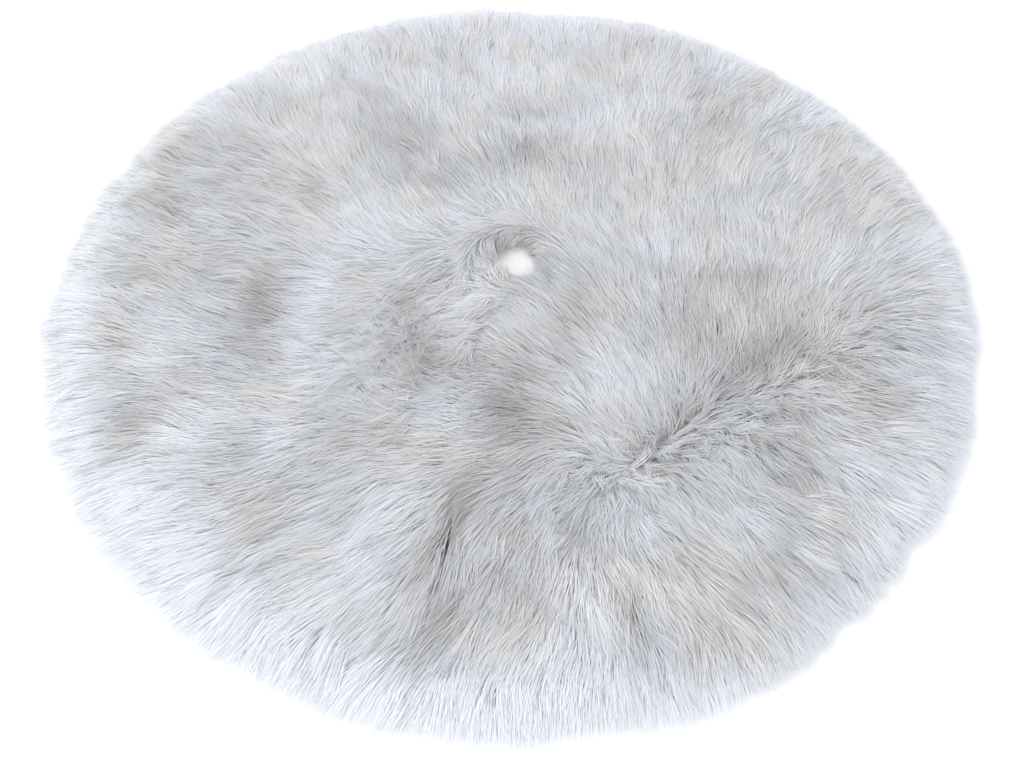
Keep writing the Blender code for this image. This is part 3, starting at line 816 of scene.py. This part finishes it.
def grid_of(along, around):
    """Shares from 0 to 1 down one way of a grid and across the other."""
    return np.linspace(0, 1, along)[:, None], np.linspace(0, 1, around)[None, :]


# %% [markdown]
# ## The undercoat
# Below the long strands, fur has a dense coat of short fine fibres. Here it is one soft hill on each body,
# in the fur's own finish: the hill's height is the product of one smooth step for each edge that it dies
# out at, and it is lower where the strands part. It closes the view down to the backing between strands.

# %% The undercoat
UNDERCOAT = 0.014
# The undercoat sits at the root end of the neutral page, in the painted root shade.
SOFT_ROOT_SHADE_PAGE = 1.05 / PAGES
SOFT_INNER, SOFT_WIDE = 0.0525, 0.514


def undercoat(name, node, points):
    """These points raised to the hill: full height inside, none at the edges, part of it at the fold."""
    x, y = points[..., 0], points[..., 1]
    radius = np.hypot(x, y)
    beside, outward = slit_xy(x, y)
    crease = smooth(0.0, 0.020, np.abs(beside - FOLD_X)) * 0.6 + 0.4
    parting = smooth(0.001, 0.014, np.abs(beside - FLAP_EDGE_X))
    full = smooth(0.566, 0.520, radius) * smooth(0.052, 0.085, radius)
    full = full * np.where(outward > 0, np.minimum(crease, parting), 1.0) * (1 - 0.85 * parted(x, y))
    points[..., 2] += full * (UNDERCOAT + 0.0012 * cloud(x, y, 0.008, 91)) + 0.0006
    # Painted shade: the undercoat is much darker than the strands, and darker still where they part, so the
    # gaps between strands read as shadow.
    tone = np.clip(0.16 + 0.8 * tone_and_painted_light(x, y) - 0.16 * parted(x, y), 0.03, 0.97)
    shape, faces, _ = loft_shape(points, closed=False)
    places = np.stack([np.full(tone.size, SOFT_ROOT_SHADE_PAGE), tone.ravel()], -1)
    piece = facing_up(make_piece(name, shape, faces, places, fur_finish, "OFBake"))
    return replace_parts(piece, node)


share, turn = grid_of(90, 421)
soft_main = undercoat("fur_undercoat_main", "fur_pile_main",
                      main_map(SOFT_INNER + SOFT_WIDE * share, turn, PILE_ROOT, FLAP_EDGE_X + 0.001))
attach(soft_main, MAIN)
share, turn = grid_of(90, 14)
soft_x = FOLD_X + (FLAP_EDGE_X - 0.001 - FOLD_X) * turn
soft_flap = undercoat("fur_undercoat_flap", "fur_pile_flap",
                      flap_map(SOFT_INNER + SOFT_WIDE * share, soft_x, PILE_ROOT))
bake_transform(soft_flap)
print("undercoat", UNDERCOAT * 1000, "mm high")

# %% [markdown]
# ## Cloth finishes
# A knit shows rows of small Vs, a lining shows a plain weave, and a tape shows close ribs across it. Each
# is a product of sine waves: two at right angles make a weave, and one that is pushed aside by the other
# makes a knit. The same wave drives the colour, darker between the threads as painted shade, the roughness
# and a very shallow bump, so that the threads stand up from the cloth. Soft noise on top gives each piece a
# used, uneven tone.

# %% Cloth finishes
OBJECT = 3


def woven(name, size, dark, light, kind, place="object", rough=0.85, depth=0.00012, **fixed):
    """A finish of threads this far apart: kind is knit, plain or rib."""
    cloth = Finish(name, **fixed)
    if place == "object":
        where = cloth.node("ShaderNodeTexCoord", output=OBJECT)
    else:
        where = cloth.node("ShaderNodeUVMap", {"uv_map": "Thread"})
    x, y, _ = cloth.parts(where)
    turn = 2 * math.pi / size
    if kind == "knit":
        wale = (x * (turn / 2)).sine().size()
        thread = (y * turn + wale * 3.0).sine() * 0.5 + 0.5
        thread = thread * 0.6 + wale * 0.4
    elif kind == "plain":
        thread = (x * turn).sine() * (y * turn).sine() * 0.5 + 0.5
    else:
        thread = (x * turn).sine() * 0.4 + (y * (turn * 2.3)).sine() * 0.1 + 0.5
    haze = cloth.noise(where, 25.0, 3.0)
    # Painted shade: the colour is darker where the wave is low, between the threads.
    colour = cloth.mix(thread * 0.75 + haze * 0.25, dark, light)
    bump = cloth.node("ShaderNodeBump", inputs={"Height": thread, "Distance": depth, "Strength": 0.7})
    cloth.wear(Base_Color=colour, Roughness=rough - 0.12 * haze, Normal=bump)
    return cloth.material


knit_finish = woven("knit_backing", 0.0016, (0.62, 0.62, 0.61), (0.82, 0.82, 0.81), "knit")
lining_finish = woven("lining_cloth", 0.0011, (0.68, 0.69, 0.71), (0.86, 0.87, 0.88), "plain",
                      rough=0.75, Sheen_Weight=0.2)
tape_finish = woven("binding_tape", 0.0012, (0.64, 0.65, 0.67), (0.86, 0.87, 0.88), "rib", "own map", 0.8)
thread_finish = woven("thread", 0.0007, (0.74, 0.74, 0.74), (0.93, 0.93, 0.93), "rib", "own map", 0.65)
label_finish = woven("label_cloth", 0.0005, (0.80, 0.80, 0.78), (0.93, 0.93, 0.92), "plain", rough=0.55,
                     Sheen_Weight=0.1)
loop_finish = woven("loop_pile", 0.0009, (0.74, 0.74, 0.73), (0.92, 0.92, 0.91), "knit", rough=0.98)
hook_finish = woven("hook_plastic", 0.0013, (0.72, 0.72, 0.70), (0.86, 0.86, 0.84), "rib", rough=0.52,
                    depth=0.00002)
print("seven cloth finishes")

# %% [markdown]
# ## Backing and lining
# The fur is knitted into its backing, and the lining covers that from below. Each is a sheet with its
# own thickness. The lining stops at the tapes' inner edges, as the cut cloth does under the binding.

# %% Backing and lining
TAPE, BACKING = 0.0006, 0.0015
EDGE = TAPE + CLEAR


def cloth_piece(name, node, points, finish, thickness, flat, area, body):
    """One sheet of cloth in place of a node: on the main body it rides that body, and it is listed with what
    it was cut to.
    """
    piece = make_piece(name, *loft_shape(points, closed=False), finish)
    thick(piece, thickness)
    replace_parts(piece, node)
    sheets.append((piece, flat, area))
    if body == MAIN:
        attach(piece, MAIN)
    else:
        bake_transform(piece)


def ring_area(inner, outer, low_x, high_x):
    """A ring's area without the strip between two lines beside the slit, in square metres."""
    return math.pi * (outer**2 - inner**2) - (high_x - low_x) * (outer - inner)


sheets = []
backing_z = heights("fur_backing_main")[0]
LAYERS = (("knit_backing", "fur_backing", backing_z, knit_finish, BACKING,
           HOLE_RADIUS + EDGE, FABRIC_RADIUS - EDGE, EDGE),
          ("lining_cloth", "lining", 0.0, lining_finish, TAPE, STRIP_INNER, STRIP_OUTER, SLIT_TAPE + CLEAR))
share, turn = grid_of(30, 181)
for slot, node, z, finish, thickness, inner, outer, inset in LAYERS:
    edge = UNDERLAP_EDGE_X + inset
    cloth_piece(f"{slot}_main", f"{node}_main", main_map(inner + (outer - inner) * share, turn, z, edge),
                finish, thickness, (2 * outer, 2 * outer), ring_area(inner, outer, FOLD_X, edge), MAIN)
share, turn = grid_of(60, 25)
for slot, node, z, finish, thickness, inner, outer, inset in LAYERS:
    wide = FLAP_EDGE_X - inset - FOLD_X
    points = flap_map(inner + (outer - inner) * share, FOLD_X + wide * turn, z)
    cloth_piece(f"{slot}_flap", f"{node}_flap", points, finish, thickness, (wide, outer - inner), None,
                FLAP)
print(len(sheets), "sheets of cloth")

# %% [markdown]
# ## Folded bindings
# A raw edge is bound by a tape folded over it, so its cross-section is a narrow U with a round bend. The
# profile is drawn once: out along the top, round the bend, back along the bottom, and home along the
# inside of the fold. It is then carried round the rim, round the hole, or straight along the slit.

# %% The tape's profile


def folded_tape(width, height=TAPE_TOP, thickness=TAPE):
    """A U profile as (distance in from the edge, z): the inner outline is set in by the thickness."""
    bend = np.linspace(math.pi / 2, -math.pi / 2, 9)
    outer_r, inner_r = height / 2, height / 2 - thickness
    outer_in = outer_r - outer_r * np.cos(bend)
    inner_in = outer_r - inner_r * np.cos(bend)
    leg = np.linspace(width, outer_r, 4)[:-1]
    puff = 0.00012 * np.sin(np.linspace(0, math.pi, 3))
    outside = [np.stack([leg, height - puff], 1), np.stack([outer_in, outer_r + outer_r * np.sin(bend)], 1),
               np.stack([leg[::-1], puff], 1)]
    inside = [np.stack([leg, thickness + puff], 1),
              np.stack([inner_in, outer_r + inner_r * np.sin(bend)], 1)[::-1],
              np.stack([leg[::-1], height - thickness - puff], 1)]
    return np.concatenate(outside + inside)


def rounded(wave, power):
    """A sine or cosine pushed towards plus or minus 1, which squares off the circle that it draws."""
    return np.sign(wave) * np.abs(wave) ** power


def binding(name, grid, body):
    """A closed tape piece in place of the node of the same name."""
    piece = facing_out(make_piece(f"{name}_tape", *loft_shape(grid, closed=True), tape_finish))
    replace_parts(piece, name)
    hems.append(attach(piece, body))


hems = []
profile = folded_tape(RIM_TAPE)
round_share = np.linspace(0, 1, 361)[:, None]
flap_x = np.linspace(FOLD_X + CREASE, FLAP_EDGE_X, 22)[:, None]
for name, radius in (("rim_binding", FABRIC_RADIUS - profile[None, :, 0]),
                     ("hole_binding", HOLE_RADIUS + profile[None, :, 0])):
    binding(f"{name}_main", main_map(radius, round_share, profile[None, :, 1]), MAIN)
    binding(f"{name}_flap", flap_map(radius, flap_x, profile[None, :, 1]), FLAP)
profile = folded_tape(SLIT_TAPE)
slit_share = np.linspace(0, 1, 81)[:, None]
binding("underlap_binding",
        strip_map(UNDERLAP_EDGE_X + profile[None, :, 0], slit_share, profile[None, :, 1]), MAIN)
binding("flap_edge_binding",
        strip_map(FLAP_EDGE_X - profile[None, :, 0], slit_share, profile[None, :, 1], LIFT), FLAP)
wide, thin = 0.010, TAPE / 2
turns = np.linspace(0, 2 * math.pi, 24, endpoint=False)
facing_x = -0.004 + wide * rounded(np.cos(turns), 0.35)
facing_z = PILE_ROOT + thin + thin * rounded(np.sin(turns), 0.6)
binding("underlap_facing", strip_map(facing_x[None, :], slit_share, facing_z[None, :]), MAIN)
print(len(hems), "tapes")

# %% [markdown]
# ## Stitches
# Topstitching is a row of separate stitches with small gaps where the thread goes down. One stitch is a
# short thread of four rings of five corners, fat in the middle and sinking at both ends. It is copied
# along each path with numpy, so a row of a thousand stitches is one small mesh.

# %% Rows of stitches
STITCH, STITCH_STEP, THREAD, STITCH_IN = 0.0026, 0.0032, 0.00027, 0.004
THREAD_Z = TAPE_TOP + 0.00055


def stitches(name, path, body):
    """A row of stitches along a path of points, each laid along the path and round its own axis."""
    length = np.concatenate([[0.0], np.linalg.norm(np.diff(path, axis=0), axis=1).cumsum()])
    count = int(length[-1] / STITCH_STEP)
    middle = (np.arange(count) + 0.5) * length[-1] / count
    behind, place, ahead = (np.stack([np.interp(middle + step, length, path[:, k]) for k in range(3)], 1)
                            for step in (-0.0005, 0.0, 0.0005))
    run = (ahead - behind) / np.linalg.norm(ahead - behind, axis=1)[:, None]
    side = np.stack([-run[:, 1], run[:, 0], np.zeros(count)], 1)
    up = np.cross(run, side)
    t, a = np.meshgrid(np.linspace(-1, 1, 4), np.linspace(0, 2 * math.pi, 5, endpoint=False), indexing="ij")
    fat = THREAD * np.sqrt(1 - 0.75 * t**4)
    parts = (t * STITCH / 2, fat * np.cos(a), fat * np.sin(a) - 0.00022 * t**4)
    points = place[:, None, None] + sum(part[None, :, :, None] * way[:, None, None]
                                        for part, way in zip(parts, (run, side, up)))
    row = copies(loft_shape(points[0], closed=True), points)
    piece = facing_out(make_piece(f"{name}_thread", *row, thread_finish))
    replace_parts(piece, name)
    hems.append(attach(piece, body))
    return count


long_way, short_way = np.linspace(0, 1, 721), np.linspace(FOLD_X + 0.002, 0.002, 60)
total = 0
for name, radius in (("rim_topstitch", FABRIC_RADIUS - STITCH_IN),
                     ("hole_topstitch", HOLE_RADIUS + STITCH_IN)):
    ring = main_map(radius, long_way, THREAD_Z, UNDERLAP_EDGE_X + STITCH_IN, FOLD_X - 0.002)
    total += stitches(f"{name}_main", ring, MAIN)
    total += stitches(f"{name}_flap", flap_map(radius, short_way, THREAD_Z), FLAP)
ends = np.linspace(0.004, 0.996, 40)
total += stitches("underlap_topstitch", strip_map(UNDERLAP_EDGE_X + STITCH_IN, ends, THREAD_Z), MAIN)
total += stitches("flap_edge_topstitch", strip_map(FLAP_EDGE_X - STITCH_IN, ends, THREAD_Z, LIFT), FLAP)
print(total, "stitches")

# %% [markdown]
# ## Hook and loop patches
# The slit is held shut by three pairs of patches. A loop patch is a woven base with a nap of small
# loops, and a hook patch is a moulded base with rows of bent hooks that hang down into them. A loop or a
# hook has a few dozen faces at most, and a plate under them has rounded corners.

# %% Patches
PATCH_X = FLAP_EDGE_X - 0.010


def bent_thread(path, radius, sides):
    """A grid of rings round each stop of a flat (across, up) path, square to the way that it runs."""
    run = np.gradient(path, axis=0)
    run /= np.linalg.norm(run, axis=1)[:, None]
    a = np.linspace(0, 2 * math.pi, sides, endpoint=False)
    radius = np.broadcast_to(radius, len(path))[:, None]
    x = path[:, 0:1] - run[:, 1:2] * radius * np.cos(a)
    z = path[:, 1:2] + run[:, 0:1] * radius * np.cos(a)
    return np.stack([x, radius * np.sin(a) + 0 * x, z], -1)


def plate(wide, long, low, high):
    """A flat plate as four rings of a rounded rectangle: two small bevels and a straight side."""
    a = np.linspace(0, 2 * math.pi, 40, endpoint=False)
    square = np.stack([rounded(np.cos(a), 0.22), rounded(np.sin(a), 0.14)], 1)
    levels = ((0.0002, low), (0.0, low + 0.00012), (0.0, high - 0.00012), (0.0002, high))
    return np.array([np.concatenate([square * (wide / 2 - inset, long / 2 - inset), np.full((40, 1), z)], 1)
                     for inset, z in levels])


def patch(name, node, centre_out, base_z, studs, rows, stud_z, finish, body):
    """A plate with a grid of small studs on it, in place of a node. Studs are turned and jogged a little."""
    base, base_faces, base_places = loft_shape(plate(0.018, 0.040, *base_z), closed=True)
    gx, gy = np.meshgrid(np.linspace(-0.0078, 0.0078, rows[0]), np.linspace(-0.0186, 0.0186, rows[1]))
    gx, gy = gx.ravel()[:, None], gy.ravel()[:, None]
    turn = dice.normal(0.0, studs[1], len(gx))[:, None]
    stud = loft_shape(studs[0], closed=True)
    x, y, z = stud[0].T
    x, y = gx + x * np.cos(turn) - y * np.sin(turn), gy + x * np.sin(turn) + y * np.cos(turn)
    nap, nap_faces, nap_places = copies(stud, np.stack([x, y, stud_z + z + 0 * x], -1))
    points = np.concatenate([base, nap])
    points = row_points(PATCH_X + points[:, 0], centre_out + points[:, 1], points[:, 2])
    faces = base_faces + [face + len(base) for face in nap_faces]
    piece = facing_out(make_piece(name, points, faces, np.concatenate([base_places, nap_places]), finish))
    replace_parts(piece, node)
    hems.append(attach(piece, body))


bow = np.linspace(0, math.pi, 6)
loop_path = np.stack([0.00030 * np.cos(bow), 0.00055 * np.sin(bow)], 1)
hook_path = np.array([(0.0, 0.0), (0.0, -42), (8, -62), (26, -66), (36, -50)]) * 1e-5
hook_fat = np.array([13, 9, 8, 7, 4]) * 1e-5
for place in ("inner", "middle", "outer"):
    low, high = heights(f"loop_patch_{place}")
    centre = middle_out(f"loop_patch_{place}")
    patch(f"loop_patch_{place}_nap", f"loop_patch_{place}", centre, (low, low + 0.0006),
          (bent_thread(loop_path, 0.00007, 3), 0.7), (20, 44), low + 0.00058, loop_finish, MAIN)
    low, high = heights(f"hook_patch_{place}")
    patch(f"hook_patch_{place}_hooks", f"hook_patch_{place}", centre, (high - 0.0005, high),
          (bent_thread(hook_path, hook_fat, 4), 0.05), (14, 32), high - 0.0005, hook_finish,
          FLAP)
print("three pairs of patches")

# %% [markdown]
# ## Care label
# A small satin label is sewn under the flap by its two short ends. It is blank here, and its long edges
# curl up by a fraction of a millimetre.

# %% Care label
share, side = grid_of(13, 9)
label_x = PATCH_X + 0.016 * (side - 0.5)
label_y = middle_out("care_label") + 0.030 * (share - 0.5)
curl = heights("care_label")[0] + 0.00018 * (1 - np.abs(2 * side - 1) ** 3) * (1 - (2 * share - 1) ** 6)
label_shape = loft_shape(row_points(label_x, label_y, curl), closed=False)
label = make_piece("care_label_satin", *label_shape, label_finish)
thick(label, 0.0002)
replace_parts(label, "care_label")
hems.append(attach(label, FLAP))

# %% [markdown]
# ## The sheets
# Each sheet of cloth is listed with what it was cut to flat, and the loop below picks out the sewn pieces
# that ride on the same body as it.

# %% The sheets and the pieces on their bodies
for piece, flat, area in sheets:
    main_piece = piece.name.endswith("_main")
    riders = [h for h in hems if "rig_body" in h and (h["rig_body"] == MAIN) == main_piece]
print(len(sheets), "sheets declared")

# %% [markdown]
# ## Floor and light
# The skirt lies on a plain white floor under a wide, soft light from the upper left, with an even white
# surround that fills the shadows. The view transform is the plain one, so that white cloth stays white.

# %% Floor and light
floor_finish = Finish("studio_floor", Roughness=0.9)
grain = floor_finish.noise(floor_finish.node("ShaderNodeTexCoord", output=3), 3.0)
floor_finish.wear(Base_Color=floor_finish.mix(grain, (0.93, 0.93, 0.93), (0.96, 0.96, 0.96)))
floor = bpy.data.objects.new("studio_floor", bpy.data.meshes.new("studio_floor"))
floor.data.from_pydata([(-9, -9, 0), (9, -9, 0), (9, 9, 0), (-9, 9, 0)], [], [(0, 1, 2, 3)])
floor.data.materials.append(floor_finish.material)
bpy.context.scene.collection.objects.link(floor)
floor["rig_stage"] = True


def soft_light(name, place, size, power):
    """A square area light that looks at the trunk hole."""
    light = bpy.data.lights.new(name, "AREA")
    light.shape, light.size, light.energy = "SQUARE", size, power
    lamp = bpy.data.objects.new(name, light)
    lamp.location = place
    aim = -np.array(place) / np.linalg.norm(place)
    lamp.rotation_euler = (math.acos(-aim[2]), 0.0, math.atan2(aim[1], aim[0]) - math.pi / 2)
    bpy.context.scene.collection.objects.link(lamp)


soft_light("window_light", (-1.9, 0.7, 2.1), 2.8, 27.0)
soft_light("fill_light", (-0.9, -2.3, 1.8), 2.0, 22.0)
world = bpy.data.worlds.new("studio")
bpy.context.scene.world = world
world.use_nodes = True
surround = world.node_tree.nodes["Background"].inputs
surround["Color"].default_value = (0.97, 0.978, 1.0, 1.0)
surround["Strength"].default_value = 0.95
bpy.context.scene.view_settings.view_transform = "Standard"
print("lights ready")

# %% Sizes, and the end
low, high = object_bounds()
print("visual box", [round(v, 4) for v in low], [round(v, 4) for v in high])
